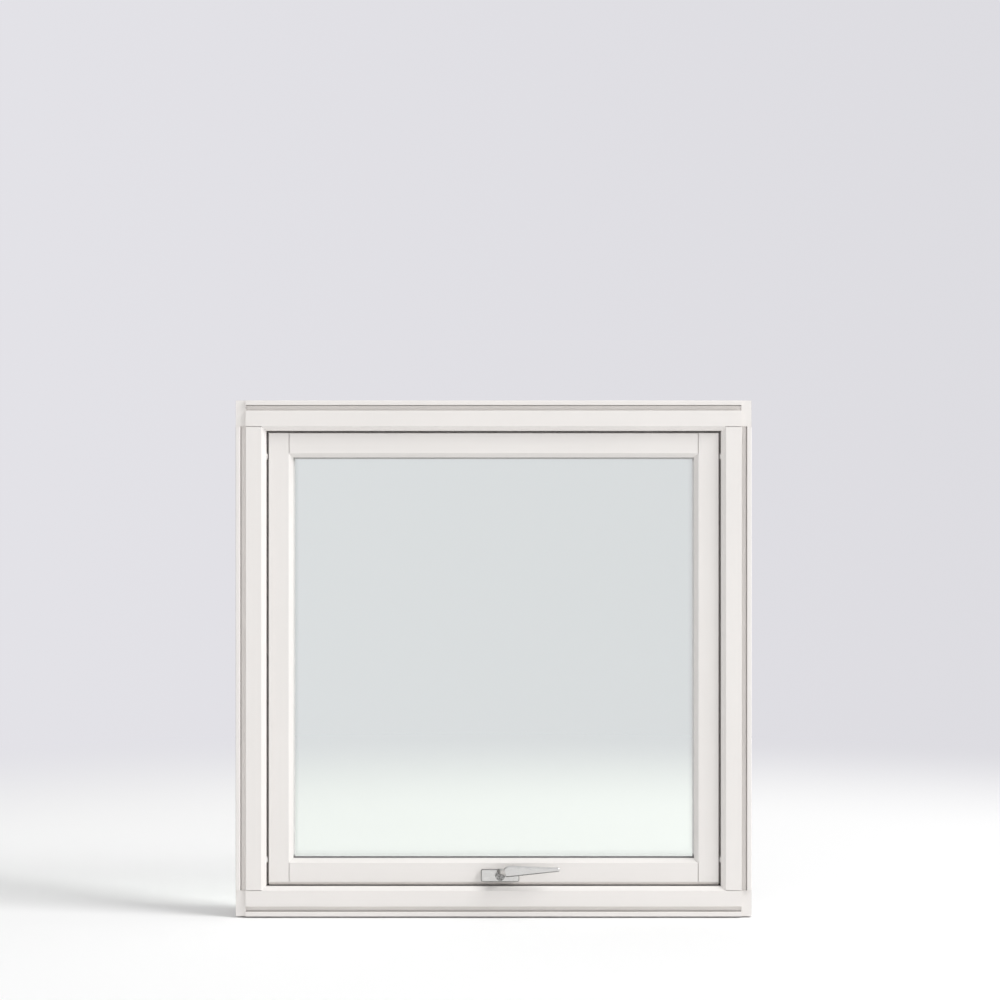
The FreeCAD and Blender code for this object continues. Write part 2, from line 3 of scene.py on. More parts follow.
import bpy
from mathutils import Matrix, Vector


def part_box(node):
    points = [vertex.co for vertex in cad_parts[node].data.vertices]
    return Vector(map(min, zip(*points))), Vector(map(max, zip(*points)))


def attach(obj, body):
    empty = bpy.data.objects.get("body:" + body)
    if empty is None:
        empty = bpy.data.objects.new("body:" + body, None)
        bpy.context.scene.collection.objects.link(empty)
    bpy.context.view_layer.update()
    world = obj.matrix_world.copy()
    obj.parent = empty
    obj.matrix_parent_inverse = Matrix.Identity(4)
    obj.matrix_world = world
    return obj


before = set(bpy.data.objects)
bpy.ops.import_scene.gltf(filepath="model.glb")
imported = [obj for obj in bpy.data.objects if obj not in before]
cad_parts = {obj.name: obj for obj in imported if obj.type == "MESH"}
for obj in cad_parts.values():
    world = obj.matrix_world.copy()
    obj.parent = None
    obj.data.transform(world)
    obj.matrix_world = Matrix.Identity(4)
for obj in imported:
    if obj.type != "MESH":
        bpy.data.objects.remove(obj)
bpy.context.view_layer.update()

# The frame: a head and a sill that run through and two jambs between them, of planed pine.
# Sprayed coats of warm white satin paint leave a fine orange peel and let a trace of grain through.
# The outer edges, which go into the wall, have one thin coat of primer, so there the grain shows.

PAINT_WHITE = (0.850, 0.820, 0.795, 1.0)
PAINT_ROUGHNESS = 0.42
PEEL_PER_METRE = 420.0
GRAIN_ACROSS_PER_METRE = 240.0
GRAIN_ALONG_PER_METRE = 5.0
CLOUD_PER_METRE = 4.0
CLOUD_TONES = (0.985, 1.010)
GRAIN_TONES = (0.994, 1.004)
PAINT_GLOSS_DRIFT = 0.05
PEEL_SHARE = 0.55
GRAIN_SHARE = 0.45
FILM_RELIEF = 0.00025
BUMP_STRENGTH = 0.35
FRAME_REACH = 0.495
PRIMER_EDGE = 0.0004
PRIMER_LIGHT = 0.87
PRIMER_DARK = 0.73


def add_node(tree, kind, **sockets):
    """A new node in a tree, with its named sockets set or linked."""
    made = tree.nodes.new(kind)
    for name, value in sockets.items():
        socket = made.inputs[name.replace("_", " ")]
        if isinstance(value, bpy.types.NodeSocket):
            tree.links.new(value, socket)
        else:
            socket.default_value = value
    return made


def calculate(tree, operation, first, second):
    """A Math node on two values."""
    made = tree.nodes.new("ShaderNodeMath")
    made.operation = operation
    for socket, value in zip(made.inputs, (first, second)):
        if isinstance(value, bpy.types.NodeSocket):
            tree.links.new(value, socket)
        else:
            socket.default_value = value
    return made.outputs[0]


def ramp(tree, value, start, end, low, high):
    """Maps values from start to end on to low to high, and holds them there outside."""
    made = add_node(
        tree, "ShaderNodeMapRange", Value=value, From_Min=start, From_Max=end, To_Min=low, To_Max=high
    )
    return made.outputs["Result"]


NOISE_LOW = 0.3
NOISE_HIGH = 0.7


def spread(tree, value, low, high):
    """Maps the middle of a noise's range to low and high."""
    return ramp(tree, value, NOISE_LOW, NOISE_HIGH, low, high)


def blend(tree, first, first_share, second, second_share):
    """The weighted sum of two values."""
    return calculate(
        tree,
        "ADD",
        calculate(tree, "MULTIPLY", first, first_share),
        calculate(tree, "MULTIPLY", second, second_share),
    )


def noise(tree, place, scale, detail):
    made = add_node(tree, "ShaderNodeTexNoise", Vector=place, Scale=scale, Detail=detail)
    return made.outputs["Fac"]


def stretched(tree, place, axis, along, across):
    """Coordinates drawn out along one axis, for grain, brushing and drawn lines."""
    scale = [across] * 3
    scale["xyz".index(axis)] = along
    return add_node(tree, "ShaderNodeMapping", Vector=place, Scale=scale).outputs["Vector"]


def shaded(tree, colour, value):
    """A colour made lighter or darker."""
    return add_node(tree, "ShaderNodeHueSaturation", Color=colour, Value=value).outputs["Color"]


FINISH_SOCKETS = {"Color": "NodeSocketColor", "Roughness": "NodeSocketFloat", "Height": "NodeSocketFloat"}


def new_finish_group(name):
    """An empty node group that turns coordinates, a colour and a gloss into a finish."""
    group = bpy.data.node_groups.new(name, "ShaderNodeTree")
    for socket in ("Vector", "Grain"):
        group.interface.new_socket(socket, in_out="INPUT", socket_type="NodeSocketVector")
    group.interface.new_socket("Color", in_out="INPUT", socket_type="NodeSocketColor")
    group.interface.new_socket("Roughness", in_out="INPUT", socket_type="NodeSocketFloat")
    for socket, kind in FINISH_SOCKETS.items():
        group.interface.new_socket(socket, in_out="OUTPUT", socket_type=kind)
    return group, group.nodes.new("NodeGroupInput").outputs, group.nodes.new("NodeGroupOutput").inputs


def make_paint_film():
    """Spray paint over timber: orange peel, faint streaks of grain, slow drift of tone and gloss."""
    group, inside, outside = new_finish_group("paint_film")
    peel = noise(group, inside["Vector"], PEEL_PER_METRE, 2.0)
    grain = noise(group, inside["Grain"], 1.0, 3.0)
    cloud = noise(group, inside["Vector"], CLOUD_PER_METRE, 3.0)
    tone = calculate(
        group, "MULTIPLY", spread(group, cloud, *CLOUD_TONES), spread(group, grain, *GRAIN_TONES)
    )
    drift = spread(group, cloud, -PAINT_GLOSS_DRIFT, PAINT_GLOSS_DRIFT)
    gloss = calculate(group, "ADD", inside["Roughness"], drift)
    relief = blend(group, peel, PEEL_SHARE, grain, GRAIN_SHARE)
    group.links.new(shaded(group, inside["Color"], tone), outside["Color"])
    group.links.new(gloss, outside["Roughness"])
    group.links.new(relief, outside["Height"])
    return group


def new_material(name):
    """An empty node material: its tree, its Principled shader and its Object coordinates."""
    material = bpy.data.materials.new(name)
    material.use_nodes = True
    tree = material.node_tree
    place = tree.nodes.new("ShaderNodeTexCoord").outputs["Object"]
    return material, tree, tree.nodes["Principled BSDF"], place


def wear_finish(tree, shader, finish, place, grain, colour, roughness, relief):
    """Puts a finish group on a shader, with its relief as bump, and gives back its colour."""
    worn = tree.nodes.new("ShaderNodeGroup")
    worn.node_tree = finish
    tree.links.new(place, worn.inputs["Vector"])
    tree.links.new(grain, worn.inputs["Grain"])
    worn.inputs["Color"].default_value = colour
    worn.inputs["Roughness"].default_value = roughness
    height = worn.outputs["Height"]
    bump = add_node(tree, "ShaderNodeBump", Height=height, Strength=BUMP_STRENGTH, Distance=relief)
    tree.links.new(worn.outputs["Color"], shader.inputs["Base Color"])
    tree.links.new(worn.outputs["Roughness"], shader.inputs["Roughness"])
    tree.links.new(bump.outputs["Normal"], shader.inputs["Normal"])
    return worn.outputs["Color"]


paint_film = make_paint_film()


def white_paint(name, grain_axis):
    """Satin paint on timber whose grain runs along one axis, with primer on the outer edges of the frame."""
    material, tree, shader, place = new_material(name)
    grain = stretched(tree, place, grain_axis, GRAIN_ALONG_PER_METRE, GRAIN_ACROSS_PER_METRE)
    coat = wear_finish(tree, shader, paint_film, place, grain, PAINT_WHITE, PAINT_ROUGHNESS, FILM_RELIEF)
    part = add_node(tree, "ShaderNodeSeparateXYZ", Vector=place).outputs
    sideways = calculate(tree, "ABSOLUTE", part["X"], 0.0)
    upwards = calculate(tree, "ABSOLUTE", calculate(tree, "SUBTRACT", part["Z"], FRAME_REACH), 0.0)
    reach = calculate(tree, "MAXIMUM", sideways, upwards)
    primer = spread(tree, noise(tree, grain, 1.0, 4.0), PRIMER_DARK, PRIMER_LIGHT)
    shade = ramp(tree, reach, FRAME_REACH - PRIMER_EDGE, FRAME_REACH - PRIMER_EDGE / 2, 1.0, primer)
    tree.links.new(shaded(tree, coat, shade), shader.inputs["Base Color"])
    return material


def give_finish(material, *names):
    """Gives CAD pieces their finish."""
    for name in names:
        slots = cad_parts[name].data.materials
        slots.clear()
        slots.append(material)


upright_paint = white_paint("white_paint_upright", "z")
level_paint = white_paint("white_paint_level", "x")
give_finish(upright_paint, "frame_jamb_left", "frame_jamb_right")
give_finish(level_paint, "frame_head", "frame_sill")

# The cover caps: round plugs of white plastic pushed into the fixing holes of the jambs.
# They are moulded, with the fine matt sparkle of the tool on their crowns.

CAP_WHITE = (0.840, 0.820, 0.800, 1.0)
CAP_ROUGHNESS = 0.45
CAP_DRIFT_PER_METRE = 90.0
SPARKLE_PER_METRE = 2600.0
SPARKLE_RELIEF = 0.00006
SPARKLE_TONES = (0.975, 1.015)
SPARKLE_SHARE = 0.7
DRAWN_TONES = (0.960, 1.030)
DRAWN_SHARE = 0.3
DRAWN_GLOSS_DRIFT = 0.06


def make_moulded_skin():
    """The fine grain of a moulded or extruded surface, with a slow drift of tone."""
    group, inside, outside = new_finish_group("moulded_skin")
    sparkle = noise(group, inside["Vector"], SPARKLE_PER_METRE, 3.0)
    drawn = noise(group, inside["Grain"], 1.0, 2.0)
    tone = calculate(
        group, "MULTIPLY", spread(group, sparkle, *SPARKLE_TONES), spread(group, drawn, *DRAWN_TONES)
    )
    drift = spread(group, drawn, -DRAWN_GLOSS_DRIFT, DRAWN_GLOSS_DRIFT)
    gloss = calculate(group, "ADD", inside["Roughness"], drift)
    relief = blend(group, sparkle, SPARKLE_SHARE, drawn, DRAWN_SHARE)
    group.links.new(shaded(group, inside["Color"], tone), outside["Color"])
    group.links.new(gloss, outside["Roughness"])
    group.links.new(relief, outside["Height"])
    return group


moulded_skin = make_moulded_skin()


def cap_plastic():
    material, tree, shader, place = new_material("cap_plastic")
    drift = stretched(tree, place, "x", CAP_DRIFT_PER_METRE, CAP_DRIFT_PER_METRE)
    wear_finish(tree, shader, moulded_skin, place, drift, CAP_WHITE, CAP_ROUGHNESS, SPARKLE_RELIEF)
    return material


give_finish(
    cap_plastic(),
    "screw_cap_left_lower",
    "screw_cap_left_upper",
    "screw_cap_right_lower",
    "screw_cap_right_upper",
)

# The weather seal: one run of soft dark grey rubber round the back of the stop.
# It is extruded and fixed to the stop, and the flange of the sash closes on it.

SEAL_GREY = (0.160, 0.160, 0.157, 1.0)
SEAL_ROUGHNESS = 0.70
SEAL_LINES_PER_METRE = 900.0
SEAL_DRIFT_PER_METRE = 60.0
RUBBER_RELIEF = 0.00008


def seal_rubber():
    material, tree, shader, place = new_material("seal_rubber")
    drawn = stretched(tree, place, "y", SEAL_LINES_PER_METRE, SEAL_DRIFT_PER_METRE)
    wear_finish(tree, shader, moulded_skin, place, drawn, SEAL_GREY, SEAL_ROUGHNESS, RUBBER_RELIEF)
    return material


give_finish(seal_rubber(), "weather_seal")

# The sash: two stiles and two rails of the same pine, tenoned together and painted with the frame.
# The joints show as fine lines, and the lower edge is bevelled with a drip kerf behind.

give_finish(upright_paint, "sash_stile_left", "sash_stile_right")
give_finish(level_paint, "sash_top_rail", "sash_bottom_rail")

# The glass: three sheets of clear float glass with the faint green of iron.
# Float glass is drawn flat, but keeps a very slow roll that bends what is seen through it a little.

GLASS_TINT = (0.979, 0.9945, 0.980, 1.0)
GLASS_CLEAR = (0.985, 0.992, 0.986, 1.0)
GLASS_IOR = 1.5
ROLL_PER_METRE = 6.0
ROLL_RELIEF = 0.0005
ROLL_STRENGTH = 0.02


def float_glass():
    material, tree, shader, place = new_material("float_glass")
    shader.inputs["Base Color"].default_value = GLASS_TINT
    shader.inputs["Roughness"].default_value = 0.0
    shader.inputs["IOR"].default_value = GLASS_IOR
    shader.inputs["Transmission Weight"].default_value = 1.0
    roll = noise(tree, place, ROLL_PER_METRE, 1.0)
    bump = add_node(tree, "ShaderNodeBump", Height=roll, Strength=ROLL_STRENGTH, Distance=ROLL_RELIEF)
    tree.links.new(bump.outputs["Normal"], shader.inputs["Normal"])
    clear = add_node(tree, "ShaderNodeBsdfTransparent", Color=GLASS_CLEAR)
    path = tree.nodes.new("ShaderNodeLightPath")
    mix = add_node(tree, "ShaderNodeMixShader", Fac=path.outputs["Is Shadow Ray"])
    tree.links.new(shader.outputs["BSDF"], mix.inputs[1])
    tree.links.new(clear.outputs["BSDF"], mix.inputs[2])
    tree.links.new(mix.outputs["Shader"], tree.nodes["Material Output"].inputs["Surface"])
    return material


give_finish(float_glass(), "pane_inner", "pane_middle", "pane_outer")

# The spacers: two rings of grey plastic that hold the sheets apart and are sealed to them.
# Their inner face is pricked with fine holes, so that the drying grains inside can breathe; the holes are
# painted on as darker dots, painted shade for their hollows.

SPACER_GREY = (0.300, 0.300, 0.305, 1.0)
SPACER_ROUGHNESS = 0.55
SPACER_LINES_PER_METRE = 700.0
SPACER_DRIFT_PER_METRE = 40.0
HOLES_PER_METRE = 320.0
HOLE_SCATTER = 0.1
HOLE_RIM = (0.16, 0.24)
HOLE_PAINTED_SHADE = 0.35


def spacer_plastic():
    material, tree, shader, place = new_material("spacer_plastic")
    drawn = stretched(tree, place, "y", SPACER_LINES_PER_METRE, SPACER_DRIFT_PER_METRE)
    skin = wear_finish(
        tree, shader, moulded_skin, place, drawn, SPACER_GREY, SPACER_ROUGHNESS, SPARKLE_RELIEF
    )
    # Painted shade: dark dots stand in for the shaded hollows of the holes.
    cells = add_node(
        tree, "ShaderNodeTexVoronoi", Vector=place, Scale=HOLES_PER_METRE, Randomness=HOLE_SCATTER
    )
    shade = ramp(tree, cells.outputs["Distance"], *HOLE_RIM, HOLE_PAINTED_SHADE, 1.0)
    tree.links.new(shaded(tree, skin, shade), shader.inputs["Base Color"])
    return material


give_finish(spacer_plastic(), "spacer_inner", "spacer_outer")

# The glazing gaskets: pale grey rubber strips that bed the glass against the sash and the beads.
# The level runs are painted darker than the upright ones as painted shade, the lower run most and the upper
# run less.

GASKET_GREY = (0.720, 0.720, 0.710, 1.0)
GASKET_ROUGHNESS = 0.60
GASKET_LINES_PER_METRE = 800.0
GASKET_DRIFT_PER_METRE = 50.0
LOWER_SHADE_TOP = 0.118
LOWER_RUN_SHADE = 0.25
UPPER_SHADE_FOOT = 0.872
UPPER_RUN_SHADE = 0.60
RUN_FADE = 0.006
RAGGED_PER_METRE = 60.0
RAGGED_REACH = 0.001


def gasket_rubber():
    material, tree, shader, place = new_material("gasket_rubber")
    drawn = stretched(tree, place, "y", GASKET_LINES_PER_METRE, GASKET_DRIFT_PER_METRE)
    skin = wear_finish(
        tree, shader, moulded_skin, place, drawn, GASKET_GREY, GASKET_ROUGHNESS, RUBBER_RELIEF
    )
    height = add_node(tree, "ShaderNodeSeparateXYZ", Vector=place).outputs["Z"]
    wander = spread(tree, noise(tree, place, RAGGED_PER_METRE, 2.0), -RAGGED_REACH, RAGGED_REACH)
    ragged = calculate(tree, "ADD", height, wander)
    # Painted shade: the lower run is darkened most and the upper run less, with a ragged edge.
    lower_shade = ramp(tree, ragged, LOWER_SHADE_TOP - RUN_FADE, LOWER_SHADE_TOP, LOWER_RUN_SHADE, 1.0)
    upper_shade = ramp(tree, ragged, UPPER_SHADE_FOOT, UPPER_SHADE_FOOT + RUN_FADE, 1.0, UPPER_RUN_SHADE)
    painted_shade = calculate(tree, "MULTIPLY", lower_shade, upper_shade)
    tree.links.new(shaded(tree, skin, painted_shade), shader.inputs["Base Color"])
    return material


give_finish(gasket_rubber(), "glazing_gasket_room", "glazing_gasket_outer")

# The glazing beads: four sloped strips of painted pine on the outside, mitred at the corners.
# Thin plated pins hold them to the sash, and their small round heads stand a hair above the paint.

give_finish(upright_paint, "bead_left", "bead_right")
give_finish(level_paint, "bead_top", "bead_bottom")

STEEL_GREY = (0.600, 0.610, 0.620, 1.0)
STEEL_ROUGHNESS = 0.38
SPANGLE_PER_METRE = 260.0
SPANGLE_TONES = (0.94, 1.03)
SPANGLE_GLOSS_DRIFT = 0.07
DRAWN_STEEL_TONES = (0.93, 1.04)
DRAWN_ALONG_PER_METRE = 70.0
DRAWN_ACROSS_PER_METRE = 1300.0
STEEL_RELIEF = 0.00005


def make_zinc_skin():
    """Bright zinc plating: small cloudy spangles over drawn lines."""
    group, inside, outside = new_finish_group("zinc_skin")
    cells = add_node(group, "ShaderNodeTexVoronoi", Vector=inside["Vector"], Scale=SPANGLE_PER_METRE)
    spangle = add_node(group, "ShaderNodeSeparateColor", Color=cells.outputs["Color"]).outputs["Red"]
    drawn = noise(group, inside["Grain"], 1.0, 3.0)
    tone = calculate(
        group,
        "MULTIPLY",
        spread(group, spangle, *SPANGLE_TONES),
        spread(group, drawn, *DRAWN_STEEL_TONES),
    )
    drift = spread(group, spangle, -SPANGLE_GLOSS_DRIFT, SPANGLE_GLOSS_DRIFT)
    gloss = calculate(group, "ADD", inside["Roughness"], drift)
    group.links.new(shaded(group, inside["Color"], tone), outside["Color"])
    group.links.new(gloss, outside["Roughness"])
    group.links.new(drawn, outside["Height"])
    return group


zinc_skin = make_zinc_skin()


def plated_steel(name, colour):
    material, tree, shader, place = new_material(name)
    drawn = stretched(tree, place, "x", DRAWN_ALONG_PER_METRE, DRAWN_ACROSS_PER_METRE)
    wear_finish(tree, shader, zinc_skin, place, drawn, colour, STEEL_ROUGHNESS, STEEL_RELIEF)
    shader.inputs["Metallic"].default_value = 1.0
    return material


steel = plated_steel("bright_zinc", STEEL_GREY)

PIN_PLACES = (-0.300, -0.150, 0.0, 0.150, 0.300)
PIN_DIAMETER = 0.0026
PIN_RISE = 0.0007
PIN_SEGMENTS = 14
PIN_RINGS = 8
TURN_SEED = 7
BEAD_SLOPE_INSET = 0.0995
BEAD_SLOPE_DEPTH = 0.0355
BEAD_FACING_IN = 0.853
BEAD_FACING_OUT = 0.521


def new_fastener_tree(name, sizes):
    """An empty tree that sets heads on points, with named inputs for their sizes and finish."""
    tree = bpy.data.node_groups.new(name, "GeometryNodeTree")
    tree.interface.new_socket("Points", in_out="INPUT", socket_type="NodeSocketGeometry")
    for size in sizes:
        tree.interface.new_socket(size, in_out="INPUT", socket_type="NodeSocketFloat")
    tree.interface.new_socket("Finish", in_out="INPUT", socket_type="NodeSocketMaterial")
    tree.interface.new_socket("Heads", in_out="OUTPUT", socket_type="NodeSocketGeometry")
    return tree, tree.nodes.new("NodeGroupInput").outputs


def set_on_points(tree, inside, head, most_turn):
    """Instances of a head on points, each facing its own way and turned a little on its axis."""
    facing = tree.nodes.new("GeometryNodeInputNamedAttribute")
    facing.data_type = "FLOAT_VECTOR"
    facing.inputs["Name"].default_value = "facing"
    aim = add_node(tree, "FunctionNodeAlignRotationToVector", Vector=facing.outputs["Attribute"])
    aim.axis = "Z"
    placed = add_node(
        tree,
        "GeometryNodeInstanceOnPoints",
        Points=inside["Points"],
        Instance=head,
        Rotation=aim.outputs["Rotation"],
    )
    turn = tree.nodes.new("FunctionNodeRandomValue")
    turn.data_type = "FLOAT"
    turn.inputs[2].default_value = 0.0
    turn.inputs[3].default_value = most_turn
    turn.inputs["Seed"].default_value = TURN_SEED
    axis = add_node(tree, "ShaderNodeCombineXYZ", Z=turn.outputs[1])
    turned = add_node(
        tree,
        "GeometryNodeRotateInstances",
        Instances=placed.outputs["Instances"],
        Rotation=axis.outputs["Vector"],
    )
    real = add_node(tree, "GeometryNodeRealizeInstances", Geometry=turned.outputs["Instances"])
    finished = add_node(
        tree, "GeometryNodeSetMaterial", Geometry=real.outputs["Geometry"], Material=inside["Finish"]
    )
    out = tree.nodes.new("NodeGroupOutput")
    tree.links.new(finished.outputs["Geometry"], out.inputs["Heads"])


def make_pin_tree():
    """Low domed pin heads."""
    tree, inside = new_fastener_tree("bead_pins", ("Diameter", "Rise"))
    ball = add_node(
        tree, "GeometryNodeMeshUVSphere", Segments=PIN_SEGMENTS, Rings=PIN_RINGS, Radius=1.0
    )
    radius = calculate(tree, "MULTIPLY", inside["Diameter"], 0.5)
    scale = add_node(tree, "ShaderNodeCombineXYZ", X=radius, Y=radius, Z=inside["Rise"])
    dome = add_node(
        tree, "GeometryNodeTransform", Geometry=ball.outputs["Mesh"], Scale=scale.outputs["Vector"]
    )
    set_on_points(tree, inside, dome.outputs["Geometry"], math.pi)
    return tree


def make_fasteners(name, tree, places, facings, values):
    """Runs a fastener tree on points and keeps its heads as a plain mesh on the window."""
    points = bpy.data.meshes.new(name)
    points.from_pydata(places, [], [])
    attribute = points.attributes.new("facing", "FLOAT_VECTOR", "POINT")
    attribute.data.foreach_set("vector", [number for facing in facings for number in facing])
    piece = bpy.data.objects.new(name, points)
    bpy.context.collection.objects.link(piece)
    modifier = piece.modifiers.new(name, "NODES")
    modifier.node_group = tree
    for socket in tree.interface.items_tree:
        if socket.name in values:
            modifier[socket.identifier] = values[socket.name]
    evaluated = piece.evaluated_get(bpy.context.evaluated_depsgraph_get())
    heads = bpy.data.meshes.new_from_object(evaluated)
    piece.modifiers.clear()
    piece.data = heads
    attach(piece, "window")


def pin_layout():
    """Places and directions of the pins, along the slope of each bead."""
    low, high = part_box("bead_bottom")[0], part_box("bead_top")[1]
    middle = (low[2] + high[2]) / 2
    reach = middle - BEAD_SLOPE_INSET
    places = []
    facings = []
    for step in PIN_PLACES:
        for side in (-1, 1):
            places.append((side * reach, BEAD_SLOPE_DEPTH, middle + step))
            facings.append((-side * BEAD_FACING_IN, BEAD_FACING_OUT, 0.0))
            places.append((step, BEAD_SLOPE_DEPTH, middle + side * reach))
            facings.append((0.0, BEAD_FACING_OUT, -side * BEAD_FACING_IN))
    return places, facings


pin_places, pin_facings = pin_layout()
make_fasteners(
    "bead_pins",
    make_pin_tree(),
    pin_places,
    pin_facings,
    {"Diameter": PIN_DIAMETER, "Rise": PIN_RISE, "Finish": steel},
)

# The hinges: two pairs of folded steel leaves with rolled knuckles on a pin, plated with bright zinc.
# One leaf is screwed up under the head and the other on the top rail.
# The screws have raised countersunk heads with a cross recess, in yellow zinc.

give_finish(
    steel,
    "hinge_frame_leaf_left",
    "hinge_frame_leaf_right",
    "hinge_sash_leaf_left",
    "hinge_sash_leaf_right",
    "hinge_pin_left",
    "hinge_pin_right",
)

SCREW_YELLOW = (0.420, 0.370, 0.240, 1.0)
SCREW_DIAMETER = 0.0076
SCREW_HEIGHT = 0.0012
SCREW_RISE = 0.0008
SCREW_SEGMENTS = 28
SCREW_TOP_SHARE = 0.9
RECESS_LENGTH = 0.0042
RECESS_WIDTH = 0.0010
LEAF_WIDTH = 0.027
LEAF_THICKNESS = 0.002
SCREW_STEPS = (-0.024, 0.0, 0.024)
SCREW_DROPS = (0.0135, 0.0205, 0.0135)


def make_screw_tree():
    """Raised countersunk heads with a cross recess."""
    tree, inside = new_fastener_tree("hinge_screws", ("Diameter", "Height", "Recess Length", "Recess Width"))
    head = add_node(
        tree,
        "GeometryNodeMeshCone",
        Vertices=SCREW_SEGMENTS,
        Radius_Top=calculate(tree, "MULTIPLY", inside["Diameter"], SCREW_TOP_SHARE / 2),
        Radius_Bottom=calculate(tree, "MULTIPLY", inside["Diameter"], 0.5),
        Depth=inside["Height"],
    )
    cross = tree.nodes.new("GeometryNodeMeshBoolean")
    cross.operation = "UNION"
    for long_axis, short_axis in (("X", "Y"), ("Y", "X")):
        extent = tree.nodes.new("ShaderNodeCombineXYZ")
        tree.links.new(inside["Recess Length"], extent.inputs[long_axis])
        tree.links.new(inside["Recess Width"], extent.inputs[short_axis])
        tree.links.new(inside["Height"], extent.inputs["Z"])
        arm = add_node(tree, "GeometryNodeMeshCube", Size=extent.outputs["Vector"])
        tree.links.new(arm.outputs["Mesh"], cross.inputs["Mesh 2"])
    lift = add_node(tree, "ShaderNodeCombineXYZ", Z=inside["Height"])
    raised = add_node(
        tree, "GeometryNodeTransform", Geometry=cross.outputs["Mesh"], Translation=lift.outputs["Vector"]
    )
    cut = tree.nodes.new("GeometryNodeMeshBoolean")
    cut.operation = "DIFFERENCE"
    tree.links.new(head.outputs["Mesh"], cut.inputs["Mesh 1"])
    tree.links.new(raised.outputs["Geometry"], cut.inputs["Mesh 2"])
    set_on_points(tree, inside, cut.outputs["Mesh"], math.pi / 2)
    return tree


def screw_layout():
    """Three screws in each sash leaf, below its knuckle."""
    places = []
    for side in ("left", "right"):
        low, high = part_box(f"hinge_sash_leaf_{side}")
        middle = (low[0] + high[0]) / 2
        leaf_face = low[1] + LEAF_THICKNESS
        leaf_top = low[2] + LEAF_WIDTH
        for step, drop in zip(SCREW_STEPS, SCREW_DROPS):
            places.append((middle + step, leaf_face + SCREW_RISE - SCREW_HEIGHT, leaf_top - drop))
    return places


screw_places = screw_layout()
make_fasteners(
    "hinge_screws",
    make_screw_tree(),
    screw_places,
    [(0.0, 1.0, 0.0)] * len(screw_places),
    {
        "Diameter": SCREW_DIAMETER,
        "Height": SCREW_HEIGHT,
        "Recess Length": RECESS_LENGTH,
        "Recess Width": RECESS_WIDTH,
        "Finish": plated_steel("yellow_zinc", SCREW_YELLOW),
    },
)

# The handle: a flat cover plate fixed to the bottom rail, and a cranked lever that turns in it.
# Both are cast metal with a brushed satin finish.
# The round hub and the bevel of the plate are painted darker and mottled, as a painted dark reflection.

SATIN_GREY = (0.720, 0.712, 0.695, 1.0)
SATIN_ROUGHNESS = 0.30
SATIN_RELIEF = 0.00004
BRUSH_ALONG_PER_METRE = 60.0
BRUSH_ACROSS_PER_METRE = 2400.0
SATIN_CLOUD_PER_METRE = 70.0
SATIN_TONES = (0.965, 1.020)
SATIN_GLOSS_DRIFT = 0.05
MOTTLE_PER_METRE = 300.0
MOTTLE_DARK = 0.40
MOTTLE_LIGHT = 1.75
PLATE_BEVEL = (-0.0481, -0.0474)
PLATE_FADE = 0.0004
BEVEL_REFLECTION_SHADE = 0.16
HUB_DEPTH = (-0.0570, -0.0400)
HUB_FADE = 0.0050
HUB_REFLECTION_SHADE = 0.42


def make_satin_skin():
    """Fine brushed lines in satin metal, with a slow drift of tone."""
    group, inside, outside = new_finish_group("satin_skin")
    lines = noise(group, inside["Grain"], 1.0, 3.0)
    cloud = noise(group, inside["Vector"], SATIN_CLOUD_PER_METRE, 3.0)
    tone = calculate(
        group, "MULTIPLY", spread(group, lines, *SATIN_TONES), spread(group, cloud, *SATIN_TONES)
    )
    drift = spread(group, lines, -SATIN_GLOSS_DRIFT, SATIN_GLOSS_DRIFT)
    gloss = calculate(group, "ADD", inside["Roughness"], drift)
    group.links.new(shaded(group, inside["Color"], tone), outside["Color"])
    group.links.new(gloss, outside["Roughness"])
    group.links.new(lines, outside["Height"])
    return group


satin_skin = make_satin_skin()


def satin_metal(name, reflection_depth, fade, shade):
    """Brushed metal, painted darker and mottled between two depths as a painted dark reflection."""
    material, tree, shader, place = new_material(name)
    lines = stretched(tree, place, "x", BRUSH_ALONG_PER_METRE, BRUSH_ACROSS_PER_METRE)
    skin = wear_finish(tree, shader, satin_skin, place, lines, SATIN_GREY, SATIN_ROUGHNESS, SATIN_RELIEF)
    shader.inputs["Metallic"].default_value = 1.0
    depth = add_node(tree, "ShaderNodeSeparateXYZ", Vector=place).outputs["Y"]
    spots = noise(tree, place, MOTTLE_PER_METRE, 2.0)
    mottle = spread(tree, spots, MOTTLE_DARK * shade, MOTTLE_LIGHT * shade)
    # Painted reflection: between the two depths the colour is darkened and mottled.
    front, back = reflection_depth
    before = ramp(tree, depth, front - fade, front, 1.0, mottle)
    behind = ramp(tree, depth, back, back + fade, 0.0, 1.0)
    painted_reflection = calculate(tree, "MAXIMUM", before, behind)
    tree.links.new(shaded(tree, skin, painted_reflection), shader.inputs["Base Color"])
    return material


give_finish(satin_metal("plate_metal", PLATE_BEVEL, PLATE_FADE, BEVEL_REFLECTION_SHADE), "handle_plate")
give_finish(satin_metal("lever_metal", HUB_DEPTH, HUB_FADE, HUB_REFLECTION_SHADE), "handle_lever")

# The studio: a white floor that fades into a pale grey distance, a little darker towards the right.
# One soft key light stands high on the right, a long way off.
# In gloss, the left of the room is dark, and so is the floor close by, like a card laid under the window.

